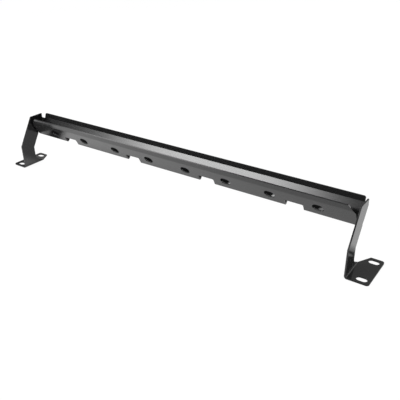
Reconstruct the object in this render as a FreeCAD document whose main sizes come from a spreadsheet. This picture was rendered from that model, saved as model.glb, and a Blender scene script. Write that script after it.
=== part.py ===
import FreeCAD, Part
import math
import os

import Sketcher
from FreeCAD import Vector

# Rack cable lacing bar: one folded steel sheet that spans a 19 inch rack.
# Frame: X runs along the bar, Y from the front edges of the ears to the back, Z up from the
# mounting face of the ears. The origin is the middle of the four mounting slots.

doc = FreeCAD.newDocument("cable_lacing_bar")

# %% Driving dimensions, in millimetres and degrees
SIZES = [
    ("overall_width", 482.6, "tip to tip over the two ears"),
    ("panel_height", 44.0, "ear, front edge to back edge"),
    ("thickness", 1.5, "sheet"),
    ("bend_radius", 1.4, "inside radius of the folds at the ears and arms"),
    ("ear_length", 21.3, "end of the ear to the arm's outer face"),
    ("arm_width", 18.7, "lower part of the arm, front edge to back edge"),
    ("arm_knee", 30.0, "height where the front edge of the arm starts to lean"),
    ("arm_lean", 31.5, "lean of the arm and of the back wall from upright"),
    ("arm_height", 64.2, "top of the arm above the mounting face"),
    ("arm_top_depth", 38.9, "front plane to the upright edge at the arm's top"),
    ("arm_corner_radius", 1.5, "top front corner of the arm"),
    ("edge_setback", 2.3, "back wall's outer face to the arm's free back edge"),
    ("relief_length", 4.0, "bend relief below the arm's fold, along the wall"),
    ("relief_margin", 0.25, "bend relief past the end of the bend"),
    ("foot_height", 7.2, "height where the arm starts to widen to its foot"),
    ("foot_depth", 27.5, "front plane to the foot's edge where the ear fold ends"),
    ("foot_radius", 8.0, "hollow corner over the foot"),
    ("ear_fold_depth", 32.4, "front plane to the slanted edge where the ear fold starts"),
    ("ear_back_width", 13.3, "straight back edge of the ear"),
    ("ear_corner_radius", 2.75, "outer corners of the ear"),
    ("slot_edge", 8.3, "end of the ear to the centres of its slots"),
    ("slot_pitch", 31.75, "mounting slots, centre to centre across the ear"),
    ("slot_length", 10.5, "mounting slot, end to end"),
    ("slot_width", 6.6, "mounting slot"),
    ("trough_gap", 4.4, "arm's outer face to the end of the trough"),
    ("trough_depth", 29.8, "front plane to the trough's lowest outer corner"),
    ("trough_bottom", 37.2, "mounting face to the trough's lowest outer corner"),
    ("trough_radius", 0.8, "inside radius of the fold along the trough's bottom"),
    ("wall_length", 24.6, "back wall, bottom corner to lip fold"),
    ("lip_length", 5.7, "lip over the back wall"),
    ("lip_lean", 19.0, "lean of the lip from upright"),
    ("lip_corner_radius", 2.2, "top corners of the lip"),
    ("face_length", 23.0, "front face, bottom corner to its rim fold"),
    ("face_lean", 26.0, "lean of the front face from upright"),
    ("rim_length", 5.7, "rim along the top of the front face"),
    ("rim_lean", 16.0, "lean of the rim from upright"),
    ("chamfer_along", 6.8, "cut corner of the front face, along the bar"),
    ("chamfer_down", 8.9, "cut corner of the front face, down the face"),
    ("fold_start", 7.4, "bottom corner to the lower end of the arm's fold, up the wall"),
    ("fold_end", 23.3, "bottom corner to the upper end of the arm's fold, up the wall"),
    ("hole_pitch", 51.0, "tie holes, centre to centre; the notches are two of these apart"),
    ("hole_length", 11.7, "tie hole along the bar, end to end"),
    ("hole_width", 8.4, "tie hole up the face"),
    ("hole_place", 13.3, "bottom corner to the tie holes' centres, up the face"),
    ("notch_width", 19.9, "notch along the bar"),
    ("notch_reach", 10.8, "bottom corner to the end of the notch, up the face and the wall"),
    ("notch_radius", 1.3, "corners of the notch"),
]
sheet = doc.addObject("Spreadsheet::Sheet", "sizes")
for row, (alias, value, meaning) in enumerate(SIZES, start=1):
    sheet.set(f"A{row}", meaning)
    sheet.set(f"B{row}", str(value))
    sheet.setAlias(f"B{row}", alias)
doc.recompute()


def size(alias):
    """The value of one driving dimension."""
    return sheet.get(alias)


# %% Expressions that several features share
HALF_WIDTH = "sizes.overall_width / 2"
ARM_OUTER = f"({HALF_WIDTH} - sizes.ear_length)"
ARM_INNER = f"({ARM_OUTER} - sizes.thickness)"
HALF_TROUGH = f"({ARM_OUTER} - sizes.trough_gap)"
LEAN_SIN = "sin(sizes.arm_lean * 1 deg)"
LEAN_COS = "cos(sizes.arm_lean * 1 deg)"
OUTER_RADIUS = "(sizes.bend_radius + sizes.thickness)"
NOTCH_PITCH = "(2 * sizes.hole_pitch)"

arm_outer = size("overall_width") / 2 - size("ear_length")
arm_inner = arm_outer - size("thickness")
half_trough = arm_outer - size("trough_gap")


def on_wall(along, inward):
    """Depth and height of a point: up the back wall from the bottom corner, then in from its outer face."""
    depth = f"sizes.trough_depth + ({along}) * {LEAN_SIN} - ({inward}) * {LEAN_COS}"
    height = f"sizes.trough_bottom + ({along}) * {LEAN_COS} + ({inward}) * {LEAN_SIN}"
    return depth, height


# %% Half of the bar, from the middle to the right ear
half = doc.addObject("PartDesign::Body", "half_bar")
half.setExpression(".Placement.Base.y", "-sizes.panel_height / 2")
origin = {feature.Role: feature for feature in half.Origin.OriginFeatures}


def new_sketch(name, plane):
    """An empty sketch on one of the body's origin planes."""
    sketch = half.newObject("Sketcher::SketchObject", name)
    sketch.AttachmentSupport = [(origin[plane], "")]
    sketch.MapMode = "FlatFace"
    return sketch


def bind(sketch, constraint, expression):
    """Add a dimension to a sketch and tie it to the driving dimensions."""
    index = sketch.addConstraint(constraint)
    sketch.setExpression(f"Constraints[{index}]", expression)


def add_polygon(sketch, corners):
    """Add a closed outline whose corners are given as pairs of expressions."""
    places = [Vector(sketch.evalExpression(x), sketch.evalExpression(y), 0) for x, y in corners]
    lines = [
        sketch.addGeometry(Part.LineSegment(start, end), False)
        for start, end in zip(places, places[1:] + places[:1])
    ]
    for line, following in zip(lines, lines[1:] + lines[:1]):
        sketch.addConstraint(Sketcher.Constraint("Coincident", line, 2, following, 1))
    for line, place, (x, y) in zip(lines, places, corners):
        bind(sketch, Sketcher.Constraint("DistanceX", -1, 1, line, 1, place.x), x)
        bind(sketch, Sketcher.Constraint("DistanceY", -1, 1, line, 1, place.y), y)


def add_slot(sketch, centre, length, width):
    """Add an obround along the sketch's X axis, from expressions."""
    x, y = (sketch.evalExpression(part) for part in centre)
    radius = sketch.evalExpression(width) / 2
    reach = sketch.evalExpression(length) / 2 - radius
    up = Vector(0, 0, 1)
    right_centre = Vector(x + reach, y, 0)
    left_centre = Vector(x - reach, y, 0)
    rise = Vector(0, radius, 0)
    quarter = math.pi / 2
    right = sketch.addGeometry(Part.ArcOfCircle(Part.Circle(right_centre, up, radius), -quarter, quarter))
    left = sketch.addGeometry(Part.ArcOfCircle(Part.Circle(left_centre, up, radius), quarter, 3 * quarter))
    top = sketch.addGeometry(Part.LineSegment(right_centre + rise, left_centre + rise))
    bottom = sketch.addGeometry(Part.LineSegment(left_centre - rise, right_centre - rise))
    sketch.addConstraint(Sketcher.Constraint("Tangent", right, 2, top, 1))
    sketch.addConstraint(Sketcher.Constraint("Tangent", top, 2, left, 1))
    sketch.addConstraint(Sketcher.Constraint("Tangent", left, 2, bottom, 1))
    sketch.addConstraint(Sketcher.Constraint("Tangent", bottom, 2, right, 1))
    sketch.addConstraint(Sketcher.Constraint("Horizontal", top))
    bind(sketch, Sketcher.Constraint("Radius", right, radius), f"({width}) / 2")
    bind(sketch, Sketcher.Constraint("DistanceX", left, 3, right, 3, 2 * reach), f"({length}) - ({width})")
    bind(sketch, Sketcher.Constraint("DistanceX", -1, 1, right, 3, x + reach),
         f"({centre[0]}) + (({length}) - ({width})) / 2")
    bind(sketch, Sketcher.Constraint("DistanceY", -1, 1, right, 3, y), centre[1])


def add_feature(kind, name, sketch, length=None, reverse=False):
    """A pad or pocket of a sketch, with its length tied to an expression, or through everything."""
    feature = half.newObject(f"PartDesign::{kind}", name)
    feature.Profile = sketch
    feature.Reversed = reverse
    if length is None:
        feature.Type = "ThroughAll"
    else:
        feature.Type = "Length"
        feature.setExpression("Length", length)
    doc.recompute()
    return feature


def edges_at(feature, places):
    """Names of the feature's edges that pass through any of the given places."""
    names = []
    for index, edge in enumerate(feature.Shape.Edges, start=1):
        if any(edge.distToShape(Part.Vertex(place))[0] < 1e-4 for place in places):
            names.append(f"Edge{index}")
    return names


def round_edges(name, places, radius):
    """Round the edges through the given places on the newest feature."""
    base = half.Tip
    fillet = half.newObject("PartDesign::Fillet", name)
    fillet.Base = (base, edges_at(base, places))
    fillet.setExpression("Radius", radius)
    doc.recompute()
    return fillet


# %% Trough section: lip, back wall, front face and rim in one line, as thick as the sheet
section = new_sketch("trough_section", "YZ_Plane")
bottom_corner = Vector(size("trough_depth"), size("trough_bottom"), 0)


def walk(start, length, lean):
    """The place reached from a start by a length at a lean from upright, in degrees."""
    angle = math.radians(lean)
    return start + Vector(length * math.sin(angle), length * math.cos(angle), 0)


def inward(lean):
    """The sheet's thickness across a wall with this lean, towards the inside of the trough."""
    angle = math.radians(lean)
    side = -1 if lean > 0 else 1
    return Vector(side * math.cos(angle), -side * math.sin(angle), 0) * size("thickness")


lip_fold = walk(bottom_corner, size("wall_length"), size("arm_lean"))
lip_top = walk(lip_fold, size("lip_length"), size("lip_lean"))
rim_fold = walk(bottom_corner, size("face_length"), -size("face_lean"))
rim_top = walk(rim_fold, size("rim_length"), -size("rim_lean"))
inner_rise = size("thickness") / math.sin(math.radians((size("arm_lean") + size("face_lean")) / 2))
inner_corner = bottom_corner + Vector(0, inner_rise, 0)

flanks = [
    (bottom_corner, lip_fold, "arm_lean", "wall_length", 1),
    (lip_fold, lip_top, "lip_lean", "lip_length", 1),
    (bottom_corner, rim_fold, "face_lean", "face_length", -1),
    (rim_fold, rim_top, "rim_lean", "rim_length", -1),
]
outer_lines = []
inner_lines = []
for start, end, lean, length, side in flanks:
    outer_lines.append(section.addGeometry(Part.LineSegment(start, end)))
    shift = inward(side * size(lean))
    inner_start = inner_corner if start == bottom_corner else start + shift
    inner_lines.append(section.addGeometry(Part.LineSegment(inner_start, end + shift)))
wall_out, lip_out, face_out, rim_out = outer_lines
wall_in, lip_in, face_in, rim_in = inner_lines
lip_edge = section.addGeometry(Part.LineSegment(lip_top, lip_top + inward(size("lip_lean"))))
rim_edge = section.addGeometry(Part.LineSegment(rim_top, rim_top + inward(-size("rim_lean"))))


def join_ends(first, first_end, second, second_end):
    """Make two lines of the section meet; an end is 1 for a line's start and 2 for its end."""
    section.addConstraint(Sketcher.Constraint("Coincident", first, first_end, second, second_end))


join_ends(wall_out, 1, face_out, 1)
join_ends(wall_out, 2, lip_out, 1)
join_ends(face_out, 2, rim_out, 1)
join_ends(wall_in, 1, face_in, 1)
join_ends(wall_in, 2, lip_in, 1)
join_ends(face_in, 2, rim_in, 1)
join_ends(lip_out, 2, lip_edge, 1)
join_ends(lip_in, 2, lip_edge, 2)
join_ends(rim_out, 2, rim_edge, 1)
join_ends(rim_in, 2, rim_edge, 2)
section.addConstraint(Sketcher.Constraint("Perpendicular", lip_out, lip_edge))
section.addConstraint(Sketcher.Constraint("Perpendicular", rim_out, rim_edge))
bind(section, Sketcher.Constraint("DistanceX", -1, 1, wall_out, 1, bottom_corner.x), "sizes.trough_depth")
bind(section, Sketcher.Constraint("DistanceY", -1, 1, wall_out, 1, bottom_corner.y), "sizes.trough_bottom")
for (start, end, lean, length, side), outer, inner in zip(flanks, outer_lines, inner_lines):
    sign = "-" if side > 0 else "+"
    angle = math.radians(90 - side * size(lean))
    bind(section, Sketcher.Constraint("Angle", outer, angle), f"90 deg {sign} sizes.{lean} * 1 deg")
    bind(section, Sketcher.Constraint("Distance", outer, size(length)), f"sizes.{length}")
    section.addConstraint(Sketcher.Constraint("Parallel", outer, inner))
    bind(section, Sketcher.Constraint("Distance", inner, 2, outer, size("thickness")), "sizes.thickness")
doc.recompute()

add_feature("Pad", "trough", section, HALF_TROUGH)


def section_point(line, end, x):
    """A place on the section's outline, moved along the bar."""
    point = section.Geometry[line].StartPoint if end == 1 else section.Geometry[line].EndPoint
    return Vector(x, point.x, point.y)


middle = half_trough / 2
round_edges("bottom_fold_outside", [section_point(wall_out, 1, middle)],
            "sizes.trough_radius + sizes.thickness")
round_edges("bottom_fold_inside", [section_point(wall_in, 1, middle)], "sizes.trough_radius")
round_edges("lip_and_rim_folds_outside",
            [section_point(lip_out, 1, middle), section_point(rim_out, 1, middle)], OUTER_RADIUS)
round_edges("lip_and_rim_folds_inside",
            [section_point(lip_in, 1, middle), section_point(rim_in, 1, middle)], "sizes.bend_radius")

# %% Cut corner of the front face and round corner of the lip
face_corner = new_sketch("face_corner", "XZ_Plane")
FACE_TOP = "(sizes.trough_bottom + sizes.face_length * cos(sizes.face_lean * 1 deg)" \
    " + sizes.rim_length * cos(sizes.rim_lean * 1 deg))"
CUT_FOOT = f"({FACE_TOP} - sizes.chamfer_down * cos(sizes.face_lean * 1 deg))"
CUT_TOP = f"({FACE_TOP} + sizes.chamfer_down)"
CUT_SLOPE = f"(sizes.chamfer_along / ({FACE_TOP} - {CUT_FOOT}))"
add_polygon(face_corner, [
    (HALF_TROUGH, CUT_FOOT),
    (f"{HALF_TROUGH} + sizes.chamfer_along", CUT_FOOT),
    (f"{HALF_TROUGH} + sizes.chamfer_along", CUT_TOP),
    (f"{HALF_TROUGH} - {CUT_SLOPE} * ({CUT_TOP} - {CUT_FOOT})", CUT_TOP),
])
add_feature("Pocket", "face_corner_cut", face_corner, "sizes.trough_depth")

lip_ends = [Vector(half_trough, *end) for end in (
    tuple(section.Geometry[lip_edge].StartPoint)[:2], tuple(section.Geometry[lip_edge].EndPoint)[:2])]
round_edges("lip_corner", [(lip_ends[0] + lip_ends[1]) / 2], "sizes.lip_corner_radius")

# %% Arm, its fold to the back wall, and the ear
web = new_sketch("fold_web", "YZ_Plane")
add_polygon(web, [
    on_wall("sizes.fold_start", "0"),
    on_wall("sizes.fold_end", "0"),
    on_wall("sizes.fold_end", "sizes.thickness"),
    on_wall("sizes.fold_start", "sizes.thickness"),
])
add_feature("Pad", "fold_web_plate", web, ARM_OUTER)

TAN = "tan(sizes.arm_lean * 1 deg)"
RELIEF_DEPTH = f"({OUTER_RADIUS} + sizes.relief_margin)"
RELIEF_FOOT = "(sizes.fold_start - sizes.relief_length)"
fold_clear_depth, fold_clear_height = on_wall("sizes.fold_end", RELIEF_DEPTH)
edge_depth, edge_height = on_wall(RELIEF_FOOT, "sizes.edge_setback")
outline = new_sketch("arm_outline", "YZ_Plane")
outline.setExpression(".AttachmentOffset.Base.z", ARM_OUTER)
add_polygon(outline, [
    ("0", "0"),
    ("sizes.panel_height", "0"),
    ("sizes.panel_height", "sizes.foot_height"),
    ("sizes.arm_width", "sizes.foot_height"),
    ("sizes.arm_width", f"{edge_height} - ({edge_depth} - sizes.arm_width) / {TAN}"),
    (edge_depth, edge_height),
    on_wall(RELIEF_FOOT, RELIEF_DEPTH),
    on_wall("sizes.fold_start", RELIEF_DEPTH),
    on_wall("sizes.fold_start", "0"),
    on_wall("sizes.fold_end", "0"),
    (fold_clear_depth, fold_clear_height),
    ("sizes.arm_top_depth", f"{fold_clear_height} + abs({fold_clear_depth} - sizes.arm_top_depth) * {TAN}"),
    ("sizes.arm_top_depth", "sizes.arm_height"),
    (f"(sizes.arm_height - sizes.arm_knee) * {TAN}", "sizes.arm_height"),
    ("0", "sizes.arm_knee"),
])
add_feature("Pad", "arm_plate", outline, "sizes.thickness", reverse=True)

ear = new_sketch("ear_outline", "XY_Plane")
add_polygon(ear, [
    (ARM_INNER, "0"),
    (HALF_WIDTH, "0"),
    (HALF_WIDTH, "sizes.panel_height"),
    (ARM_INNER, "sizes.panel_height"),
])
add_feature("Pad", "ear_plate", ear, "sizes.thickness")

ear_middle = size("panel_height") / 2
fold_middle = (size("fold_start") + size("fold_end")) / 2


def wall_place(x, along, deep):
    """A place on the back wall: along the bar, up the wall and in from its outer face."""
    depth, height = (web.evalExpression(part) for part in on_wall(str(along), str(deep)))
    return Vector(x, depth, height)


round_edges("folds_outside", [
    Vector(arm_inner, ear_middle, 0),
    wall_place(arm_outer, fold_middle, 0),
], OUTER_RADIUS)
round_edges("folds_inside", [
    Vector(arm_outer, ear_middle, size("thickness")),
    wall_place(arm_inner, fold_middle, size("thickness")),
], "sizes.bend_radius")

# %% Corners of the arm and the ear, and the mounting slots
corner_depth = outline.evalExpression(f"(sizes.arm_height - sizes.arm_knee) * {TAN}")
arm_middle = arm_outer - size("thickness") / 2
round_edges("arm_corner", [Vector(arm_middle, corner_depth, size("arm_height"))], "sizes.arm_corner_radius")
round_edges("ear_corners", [
    Vector(size("overall_width") / 2, depth, size("thickness") / 2) for depth in (0, size("panel_height"))
], "sizes.ear_corner_radius")

slots = new_sketch("mounting_slots", "XY_Plane")
for sign in "-+":
    place = (f"{HALF_WIDTH} - sizes.slot_edge", f"sizes.panel_height / 2 {sign} sizes.slot_pitch / 2")
    add_slot(slots, place, "sizes.slot_length", "sizes.slot_width")
add_feature("Pocket", "mounting_slots_cut", slots, "sizes.thickness", reverse=True)

# %% Row of tie holes in the front face, cut square to it
HOLES_PER_HALF = 4
holes = new_sketch("tie_hole", "XZ_Plane")
holes.AttachmentOffset = FreeCAD.Placement(Vector(), FreeCAD.Rotation(Vector(1, 0, 0), size("face_lean")))
holes.setExpression(".AttachmentOffset.Base.y", "sizes.trough_bottom")
holes.setExpression(".AttachmentOffset.Base.z", "-sizes.trough_depth")
holes.setExpression(".AttachmentOffset.Rotation.Angle", "sizes.face_lean * 1 deg")
add_slot(holes, ("sizes.hole_pitch / 2", "sizes.hole_place"), "sizes.hole_length", "sizes.hole_width")
hole_cut = add_feature("Pocket", "tie_hole_cut", holes, "2 * sizes.thickness")
hole_row = half.newObject("PartDesign::LinearPattern", "tie_hole_row")
hole_row.Originals = [hole_cut]
hole_row.Direction = (origin["X_Axis"], [""])
hole_row.Occurrences = HOLES_PER_HALF
hole_row.setExpression("Length", f"sizes.hole_pitch * {HOLES_PER_HALF - 1}")
half.Tip = hole_row
doc.recompute()

# %% Notches across the bottom fold, cut square to the face and to the wall
NOTCHES_PER_HALF = 2


def on_face(along, inward):
    """Depth and height of a point: up the front face from the bottom corner, then in from its outer face."""
    lean = "sizes.face_lean * 1 deg"
    depth = f"sizes.trough_depth - ({along}) * sin({lean}) + ({inward}) * cos({lean})"
    height = f"sizes.trough_bottom + ({along}) * cos({lean}) + ({inward}) * sin({lean})"
    return depth, height


notch = new_sketch("notch", "YZ_Plane")
notch.setExpression(".AttachmentOffset.Base.z", f"{NOTCH_PITCH} / 2")
add_polygon(notch, [
    ("sizes.trough_depth", "sizes.trough_bottom - sizes.thickness"),
    on_wall("sizes.notch_reach", "-sizes.thickness"),
    on_wall("sizes.notch_reach", "2 * sizes.thickness"),
    on_face("sizes.notch_reach", "2 * sizes.thickness"),
    on_face("sizes.notch_reach", "-sizes.thickness"),
])
notch_cut = add_feature("Pocket", "notch_cut", notch, "sizes.notch_width")
notch_cut.Midplane = True
notch_row = half.newObject("PartDesign::LinearPattern", "notch_row")
notch_row.Originals = [notch_cut]
notch_row.Direction = (origin["X_Axis"], [""])
notch_row.Occurrences = NOTCHES_PER_HALF
notch_row.setExpression("Length", f"{NOTCH_PITCH} * {NOTCHES_PER_HALF - 1}")
half.Tip = notch_row
doc.recompute()

notch_corners = []
for flank in (on_face, on_wall):
    depth, height = (notch.evalExpression(part) for part in flank("sizes.notch_reach", "sizes.thickness / 2"))
    for index in range(NOTCHES_PER_HALF):
        for side in (-1, 1):
            along = 2 * size("hole_pitch") * (index + 0.5) + side * size("notch_width") / 2
            notch_corners.append(Vector(along, depth, height))
round_edges("notch_corners", notch_corners, "sizes.notch_radius")

# %% Cut that narrows the ear to the arm: slanted on the ear, twisting round the fold, slanted up the arm
FOLD_STEPS = 6
fold_axis = Vector(arm_outer + size("bend_radius"), 0, size("thickness") + size("bend_radius"))
DOWN = Vector(0, 0, -1)
TO_ARM = Vector(-1, 0, 0)


def cut_section(base, radial, depth):
    """Rectangle across the sheet, from a depth to behind the ear's back edge."""
    near = base + radial * (size("bend_radius") / 2)
    far = base + radial * (size("bend_radius") + 2 * size("thickness"))
    front = Vector(0, depth, 0)
    back = Vector(0, size("panel_height") + size("thickness"), 0)
    return Part.makePolygon([near + front, far + front, far + back, near + back, near + front])


ear_end = Vector(size("overall_width") / 2 - size("ear_back_width"), 0, fold_axis.z)
arm_end = Vector(fold_axis.x, 0, size("foot_height"))
cut_sections = [cut_section(ear_end, DOWN, size("panel_height"))]
for step in range(FOLD_STEPS + 1):
    turn = step / FOLD_STEPS
    radial = DOWN * math.cos(turn * math.pi / 2) + TO_ARM * math.sin(turn * math.pi / 2)
    depth = size("ear_fold_depth") + (size("foot_depth") - size("ear_fold_depth")) * turn
    cut_sections.append(cut_section(fold_axis, radial, depth))
cut_sections.append(cut_section(arm_end, TO_ARM, size("arm_width")))
foot_cutter = doc.addObject("Part::Feature", "foot_cutter")
foot_cutter.Shape = Part.makeLoft(cut_sections, True, True)
foot_cutter.setExpression(".Placement.Base.y", "-sizes.panel_height / 2")

trimmed = doc.addObject("Part::Cut", "trimmed_half")
trimmed.Base = half
trimmed.Tool = foot_cutter
doc.recompute()

hollow = Vector(arm_middle, size("arm_width") - size("panel_height") / 2, size("foot_height"))
right_half = doc.addObject("Part::Fillet", "right_half")
right_half.Base = trimmed
right_half.Edges = [
    (int(name[4:]), size("foot_radius"), size("foot_radius")) for name in edges_at(trimmed, [hollow])
]

# %% Whole bar
left_half = doc.addObject("Part::Mirroring", "left_half")
left_half.Source = right_half
left_half.Normal = Vector(1, 0, 0)
bar = doc.addObject("Part::Fuse", "lacing_bar")
bar.Base = right_half
bar.Tool = left_half
bar.Refine = True
bar.Label = "lacing_bar"
doc.recompute()

# %% Check and export
for item in doc.Objects:
    if "Invalid" in item.State or "Error" in item.State:
        raise RuntimeError(f"{item.Label} failed: {item.State}")
    if item.isDerivedFrom("PartDesign::Feature") or item.isDerivedFrom("Part::Feature"):
        if hasattr(item, "Shape") and (item.Shape.isNull() or not item.Shape.isValid()):
            raise RuntimeError(f"{item.Label} has no valid shape")
if len(bar.Shape.Solids) != 1:
    raise RuntimeError("the folded sheet is not one solid")

os.makedirs("parts", exist_ok=True)
bar.Shape.exportStep(f"parts/{bar.Label}.step")
box = bar.Shape.optimalBoundingBox()
print(f"{bar.Label}: {bar.Shape.Volume:.0f} mm3,"
      f" {box.XLength:.1f} x {box.YLength:.1f} x {box.ZLength:.1f} mm")
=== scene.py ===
# %% [markdown]
# # Rack cable lacing bar
# One folded steel sheet spans a 19 inch rack: a V trough with tie holes and notches, on two arms
# that end in slotted ears. It has a smooth black coat. The cells below load the fixed metal part,
# soften its cut edges as paint does, give it the coat, and set up a white studio round it.

import math

import bpy
from mathutils import Matrix, Vector

MILLIMETRE = 0.001

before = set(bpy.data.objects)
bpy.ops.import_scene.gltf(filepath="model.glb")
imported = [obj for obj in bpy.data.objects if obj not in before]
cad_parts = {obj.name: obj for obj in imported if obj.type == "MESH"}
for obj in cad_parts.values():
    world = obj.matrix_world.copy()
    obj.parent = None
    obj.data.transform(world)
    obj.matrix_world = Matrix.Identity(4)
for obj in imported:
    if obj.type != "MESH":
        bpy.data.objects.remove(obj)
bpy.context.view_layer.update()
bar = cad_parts["lacing_bar"]

# %% [markdown]
# ## Edges and folds
# A sheared steel edge is sharp, but paint rounds it, and the thin round edge catches the light as a
# pale line. The rounding could be built into the metal, but it belongs to the paint, so it is made
# here. The metal arrives as loose triangles. Its own mesh stays as it came, and modifiers work on
# top of it: Weld joins the triangles, Decimate in planar mode clears the lines inside the flat
# faces, Bevel rounds the cut edges only, and Weighted Normal keeps the flats flat in a reflection
# while the folds turn smoothly.

# %% Soften the cut edges
PAINT_EDGE = 0.3 * MILLIMETRE
EDGE_STEPS = 3
JOIN_DISTANCE = 0.001 * MILLIMETRE
FLAT_ANGLE = math.radians(1)
CUT_EDGE_ANGLE = math.radians(50)

weld = bar.modifiers.new("join_triangles", "WELD")
weld.merge_threshold = JOIN_DISTANCE
flat = bar.modifiers.new("clear_flats", "DECIMATE")
flat.decimate_type = "DISSOLVE"
flat.angle_limit = FLAT_ANGLE
edge = bar.modifiers.new("paint_edge", "BEVEL")
edge.width = PAINT_EDGE
edge.segments = EDGE_STEPS
edge.limit_method = "ANGLE"
edge.angle_limit = CUT_EDGE_ANGLE
edge.harden_normals = True
normals = bar.modifiers.new("flat_normals", "WEIGHTED_NORMAL")
normals.keep_sharp = True
for polygon in bar.data.polygons:
    polygon.use_smooth = True
print("edge width:", PAINT_EDGE / MILLIMETRE, "mm")

# %% [markdown]
# ## Black coat
# The coat is a smooth, nearly black paint with a sharp shine. The shine does most of the work: a
# dielectric reflects 4% face on and much more at a glancing angle, so the same paint looks black
# on one flank and pale grey on the next. A clear layer over a matt base could give such a shine
# too. One plain layer was chosen because it is simpler. A fine noise in the bump gives it the
# slight waviness of a sprayed coat, and a wider one varies the roughness a little.

# %% Make the coat
COAT_COLOUR = (0.014, 0.014, 0.0144, 1.0)
COAT_IOR = 1.5
CLOUD_SCALE = 60
CLOUD_DETAIL = 3
ROUGHNESS_LOW = 0.13
ROUGHNESS_HIGH = 0.18
PEEL_SCALE = 900
PEEL_DETAIL = 2
PEEL_STRENGTH = 0.006
PEEL_DEPTH = 0.1 * MILLIMETRE

coat = bpy.data.materials.new("black_coat")
coat.use_nodes = True
nodes = coat.node_tree.nodes
links = coat.node_tree.links
shader = nodes["Principled BSDF"]
shader.inputs["Base Color"].default_value = COAT_COLOUR
shader.inputs["IOR"].default_value = COAT_IOR
coat_place = nodes.new("ShaderNodeTexCoord")


def add_noise(scale, detail):
    """Soft clouds that stay fixed to the part's own coordinates."""
    noise = nodes.new("ShaderNodeTexNoise")
    noise.inputs["Scale"].default_value = scale
    noise.inputs["Detail"].default_value = detail
    links.new(coat_place.outputs["Object"], noise.inputs["Vector"])
    return noise.outputs["Fac"]


gloss = nodes.new("ShaderNodeMapRange")
gloss.inputs["To Min"].default_value = ROUGHNESS_LOW
gloss.inputs["To Max"].default_value = ROUGHNESS_HIGH
links.new(add_noise(CLOUD_SCALE, CLOUD_DETAIL), gloss.inputs["Value"])
links.new(gloss.outputs["Result"], shader.inputs["Roughness"])

bump = nodes.new("ShaderNodeBump")
bump.inputs["Strength"].default_value = PEEL_STRENGTH
bump.inputs["Distance"].default_value = PEEL_DEPTH
links.new(add_noise(PEEL_SCALE, PEEL_DETAIL), bump.inputs["Height"])
links.new(bump.outputs["Normal"], shader.inputs["Normal"])

# The coat takes every material slot that the bar came with, or a new one if it came with none.
for slot in range(max(1, len(bar.material_slots))):
    if slot < len(bar.data.materials):
        bar.data.materials[slot] = coat
    else:
        bar.data.materials.append(coat)
print("coat:", coat.name)

# %% [markdown]
# ## White floor
# The part stands on its ears on a white floor that runs out of sight. The camera sees a floor that is
# almost plain white, with a trace of the part's shadow. The shine of the coat sees an overexposed
# studio floor with painted light and shade. It is brightest in front on the left, darker behind on
# the left as a painted shadow of the bar, and darker close round the two feet as a painted shadow.
# Every other ray meets plain pale paper. A plain floor could be lit until it turns white, but that
# light would fall on the black coat too. Light Path tells the rays apart inside one material.

# %% Node helpers for the studio


def add_node(tree, kind, **settings):
    """A new shader node with some of its settings made."""
    node = tree.nodes.new(kind)
    for name, value in settings.items():
        setattr(node, name, value)
    return node


def feed(tree, value, socket):
    """Set a socket to a plain number, or link another node's output to it."""
    if isinstance(value, (int, float)):
        socket.default_value = value
    else:
        tree.links.new(value, socket)


def ramp(tree, source, low, high, at_low, at_high):
    """A smooth step of one number: at_low up to low, at_high from high on."""
    node = add_node(tree, "ShaderNodeMapRange", interpolation_type="SMOOTHSTEP")
    node.inputs["From Min"].default_value = low
    node.inputs["From Max"].default_value = high
    node.inputs["To Min"].default_value = at_low
    node.inputs["To Max"].default_value = at_high
    tree.links.new(source, node.inputs["Value"])
    return node.outputs["Result"]


def combine(tree, operation, first, second=0):
    """One step of arithmetic on numbers; either may be a plain value."""
    node = add_node(tree, "ShaderNodeMath", operation=operation)
    feed(tree, first, node.inputs[0])
    feed(tree, second, node.inputs[1])
    return node.outputs["Value"]


def split_place(tree, coordinates):
    """The three coordinates of the shaded point, each by its own name."""
    place = add_node(tree, "ShaderNodeTexCoord")
    split = add_node(tree, "ShaderNodeSeparateXYZ")
    tree.links.new(place.outputs[coordinates], split.inputs["Vector"])
    return split.outputs


def emit(tree, strength):
    """White light of this strength."""
    node = add_node(tree, "ShaderNodeEmission")
    feed(tree, strength, node.inputs["Strength"])
    return node.outputs["Emission"]


def mix_shaders(tree, share, first, second):
    """Two shaders mixed: a share of 0 is all the first, 1 is all the second."""
    node = add_node(tree, "ShaderNodeMixShader")
    feed(tree, share, node.inputs["Fac"])
    tree.links.new(first, node.inputs[1])
    tree.links.new(second, node.inputs[2])
    return node.outputs["Shader"]


# %% Make the floor
FLOOR_SIZE = 60.0
PAPER_COLOUR = (0.8, 0.8, 0.8, 1)
PAPER_ROUGHNESS = 0.9
PAPER_WHITE = 1.08
SHADOW_SHARE = 0.12

bpy.ops.mesh.primitive_plane_add(size=FLOOR_SIZE, location=(0, 0, 0))
floor = bpy.context.object
floor.name = "floor"
paper = bpy.data.materials.new("white_paper")
paper.use_nodes = True
tree = paper.node_tree
plain = tree.nodes["Principled BSDF"]
plain.inputs["Base Color"].default_value = PAPER_COLOUR
plain.inputs["Roughness"].default_value = PAPER_ROUGHNESS
to_camera = mix_shaders(tree, SHADOW_SHARE, emit(tree, PAPER_WHITE), plain.outputs["BSDF"])
print("floor:", FLOOR_SIZE, "m")
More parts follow.
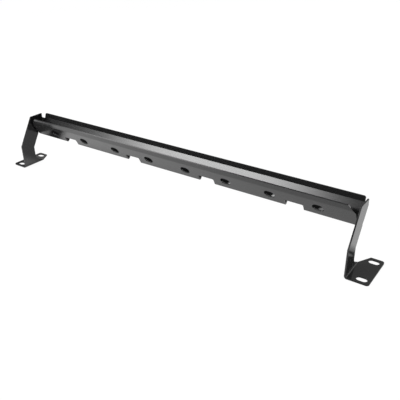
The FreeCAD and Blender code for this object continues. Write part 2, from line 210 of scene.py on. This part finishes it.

# %% [markdown]
# The floor that the shine sees is painted with light and shade. It has four strengths, front and
# back, left and right: a painted glow brightest in front on the left, and a painted shadow of the bar
# behind on the left. They run into each other along the bar (X) and across it (Y), each between two
# places in metres. A painted shadow darkens the floor round the feet. Both feet are shaded by one
# rule, because the place is taken without its sign.

# %% Give the shine its own floor
FLOOR_FRONT_LEFT = 1.63
FLOOR_FRONT_RIGHT = 1.1
FLOOR_BACK_LEFT = 0.68
FLOOR_BACK_RIGHT = 1.12
FRONT_RUNS_ALONG = (-0.26, 0.30)
BACK_RUNS_ALONG = (-0.24, 0.12)
FRONT_ENDS_ACROSS = (-0.008, 0.012)
FOOT_PLACE = (0.235, 0.01, 0)
FOOT_SHADE = 0.4
FOOT_SHADE_FADES = (0.015, 0.029)

# Painted light and shade in the floor's reflection: brightest in front on the left, and darker behind
# on the left as a painted shadow of the bar.
point = split_place(tree, "Object")
in_front = ramp(tree, point["X"], *FRONT_RUNS_ALONG, FLOOR_FRONT_LEFT, FLOOR_FRONT_RIGHT)
behind = ramp(tree, point["X"], *BACK_RUNS_ALONG, FLOOR_BACK_LEFT, FLOOR_BACK_RIGHT)
front_share = ramp(tree, point["Y"], *FRONT_ENDS_ACROSS, 1.0, 0.0)
back_share = combine(tree, "SUBTRACT", 1.0, front_share)
front_part = combine(tree, "MULTIPLY", in_front, front_share)
back_part = combine(tree, "MULTIPLY", behind, back_share)
painted_light_and_shade = combine(tree, "ADD", front_part, back_part)

# A painted shadow in the floor's reflection, darker close round both feet.
floor_place = add_node(tree, "ShaderNodeTexCoord")
without_sign = add_node(tree, "ShaderNodeVectorMath", operation="ABSOLUTE")
tree.links.new(floor_place.outputs["Object"], without_sign.inputs[0])
from_foot = add_node(tree, "ShaderNodeVectorMath", operation="DISTANCE")
from_foot.inputs[1].default_value = FOOT_PLACE
tree.links.new(without_sign.outputs["Vector"], from_foot.inputs[0])
foot_shade = ramp(tree, from_foot.outputs["Value"], *FOOT_SHADE_FADES, FOOT_SHADE, 1.0)
# The floor's glow seen in the shine is a painted reflection of a lit floor, with its painted shadows.
shine = emit(tree, combine(tree, "MULTIPLY", painted_light_and_shade, foot_shade))

ray = add_node(tree, "ShaderNodeLightPath")
shine_or_paper = mix_shaders(tree, ray.outputs["Is Glossy Ray"], plain.outputs["BSDF"], shine)
seen = mix_shaders(tree, ray.outputs["Is Camera Ray"], shine_or_paper, to_camera)
tree.links.new(seen, tree.nodes["Material Output"].inputs["Surface"])

# The floor is no lamp: only rays that happen to meet it see it glow.
paper.cycles.emission_sampling = "NONE"
floor.data.materials.append(paper)
print("floor in the shine:", FLOOR_BACK_LEFT, "to", FLOOR_FRONT_LEFT)

# %% [markdown]
# ## Light
# A black gloss coat shows little of its own colour: it is lit by what it mirrors, so each light
# stands where one face of the part looks. The room is white at the horizon, dark just over it, dim
# grey higher up and lighter straight above. The right ear mirrors the grey. The part straight above
# shows little, only faintly low in the tie holes. The camera sees white all round.

# %% Dim room, white only to the camera
# Each height is the sine of the angle over the horizon. The three strengths add up.
HORIZON_ENDS = (0.04, 0.09)
ROOM_HORIZON = 1.1
ROOM_LOW = 0.05
ABOVE_GROWS = (0.12, 0.5)
ROOM_ABOVE = 0.36
CEILING_GROWS = (0.88, 0.98)
ROOM_CEILING = 0.9
ROOM_COLOUR = (1, 1, 1, 1)

world = bpy.data.worlds.new("studio")
bpy.context.scene.world = world
world.use_nodes = True
tree = world.node_tree
background = tree.nodes["Background"]
background.inputs["Color"].default_value = ROOM_COLOUR
height = split_place(tree, "Generated")["Z"]
horizon = ramp(tree, height, *HORIZON_ENDS, ROOM_HORIZON, ROOM_LOW)
above = ramp(tree, height, *ABOVE_GROWS, 0, ROOM_ABOVE)
ceiling = ramp(tree, height, *CEILING_GROWS, 0, ROOM_CEILING)
room = combine(tree, "ADD", combine(tree, "ADD", horizon, above), ceiling)
ray = add_node(tree, "ShaderNodeLightPath")
room_or_white = combine(tree, "MAXIMUM", ray.outputs["Is Camera Ray"], room)
tree.links.new(room_or_white, background.inputs["Strength"])
print("room overhead:", round(ROOM_LOW + ROOM_ABOVE + ROOM_CEILING, 2))

# %% [markdown]
# ## Soft boxes
# Lamps could light the part, but a gloss coat shows the shape of what lights it. So panels that
# fade out at their sides were chosen, and each streak ends softly.
#
# The key box stands front left. The back wall mirrors it as the long pale streak along the bar, and
# in the camera's view it does by far the most. It also makes the light spot at the lower right edge
# of the tie holes. Four weaker boxes stand where small faces look. Each was left out once to see
# what it does. The rim box draws the light line on the left half of the rim's cut top edge. The
# back box lights the cut corner of the front face and part of the right foot, and seen from behind
# on the left it lights the nearer half of the bar. The left box changes the left foot a little,
# lighter near the arm and darker at the ear's tip. The right box shows only as a faint dot near the
# left end of each tie hole.

# %% Hang the soft boxes
BOX_TARGET = Vector((0, 0, 0.05))
FULL_PLANE = 2


def soft_box(name, azimuth, elevation, distance, half_size, fade, strength, halo=0.0, halo_reach=0.0):
    """A panel that faces the part and is unseen by the camera.

    It is half as bright at half_size from its middle, fades over fade each way from there, and may
    have a dim halo at its two sides that reaches further. The plane is made 2 m wide, so its half
    size is 1 before it is stretched to the panel's half size.
    """
    turn = math.radians(azimuth)
    rise = math.radians(elevation)
    side = math.cos(rise)
    direction = Vector((math.sin(turn) * side, -math.cos(turn) * side, math.sin(rise)))
    half_width, half_height = half_size
    fade_across, fade_up = fade
    reach = max(fade_across, halo_reach)
    bpy.ops.mesh.primitive_plane_add(size=FULL_PLANE)
    panel = bpy.context.object
    panel.name = name
    panel.data.transform(Matrix.Diagonal((half_width + reach, half_height + fade_up, 1, 1)))
    panel.rotation_mode = "QUATERNION"
    panel.rotation_quaternion = direction.to_track_quat("Z", "Y")
    panel.location = BOX_TARGET + direction * distance
    panel.visible_camera = False
    material = bpy.data.materials.new(name)
    material.use_nodes = True
    tree = material.node_tree
    tree.nodes.remove(tree.nodes["Principled BSDF"])
    point = split_place(tree, "Object")
    across = combine(tree, "ABSOLUTE", point["X"])
    up = combine(tree, "ABSOLUTE", point["Y"])
    rows = ramp(tree, up, half_height - fade_up, half_height + fade_up, 1, 0)
    bright = ramp(tree, across, half_width - fade_across, half_width + fade_across, strength, 0)
    if halo:
        far_side = half_width + reach
        halo_across = ramp(tree, across, far_side - fade_up, far_side, halo, 0)
        bright = combine(tree, "ADD", bright, halo_across)
    glow = emit(tree, combine(tree, "MULTIPLY", bright, rows))
    tree.links.new(glow, tree.nodes["Material Output"].inputs["Surface"])
    panel.data.materials.append(material)
    print(name, "at", [round(c, 2) for c in panel.location])


soft_box("key_box", azimuth=-33.6, elevation=30, distance=1.6, half_size=(0.37, 0.22),
         fade=(0.2, 0.12), strength=12, halo=1.1, halo_reach=0.32)
soft_box("right_box", azimuth=107, elevation=28, distance=1.5, half_size=(0.14, 0.14),
         fade=(0.06, 0.06), strength=4)
soft_box("left_box", azimuth=-133, elevation=24, distance=1.6, half_size=(0.3, 0.25),
         fade=(0.12, 0.12), strength=1.0)
soft_box("rim_box", azimuth=-122, elevation=43, distance=1.5, half_size=(0.26, 0.24),
         fade=(0.1, 0.08), strength=3)
soft_box("back_box", azimuth=149, elevation=14, distance=1.6, half_size=(0.3, 0.16),
         fade=(0.1, 0.08), strength=3)

# %% [markdown]
# ## Camera
# A long lens looks down at the part from the front right. Its place, its three turns and its focal
# length were fitted together with the part's sizes, with the width and the slot spacing of a
# 19 inch panel held.

# %% Place the camera
CAMERA_PLACE = Vector((346.3, -419.3, 293.2)) * MILLIMETRE
CAMERA_AZIMUTH = math.radians(35.625)
CAMERA_ELEVATION = math.radians(27.919)
CAMERA_ROLL = math.radians(-1.114)
CAMERA_LENS = 48.91
SENSOR_WIDTH = 36
NEAREST_SEEN = 0.01
FARTHEST_SEEN = 200

camera = bpy.data.objects.new("camera", bpy.data.cameras.new("camera"))
bpy.context.scene.collection.objects.link(camera)
heading = Matrix.Rotation(CAMERA_AZIMUTH, 4, "Z")
tip = Matrix.Rotation(math.pi / 2 - CAMERA_ELEVATION, 4, "X")
roll = Matrix.Rotation(CAMERA_ROLL, 4, "Z")
camera.matrix_world = Matrix.Translation(CAMERA_PLACE) @ heading @ tip @ roll
camera.data.sensor_width = SENSOR_WIDTH
camera.data.lens = CAMERA_LENS
camera.data.clip_start = NEAREST_SEEN
camera.data.clip_end = FARTHEST_SEEN
bpy.context.scene.camera = camera
bpy.context.scene.view_settings.view_transform = "Standard"
print("camera:", [round(c, 3) for c in CAMERA_PLACE], "m")
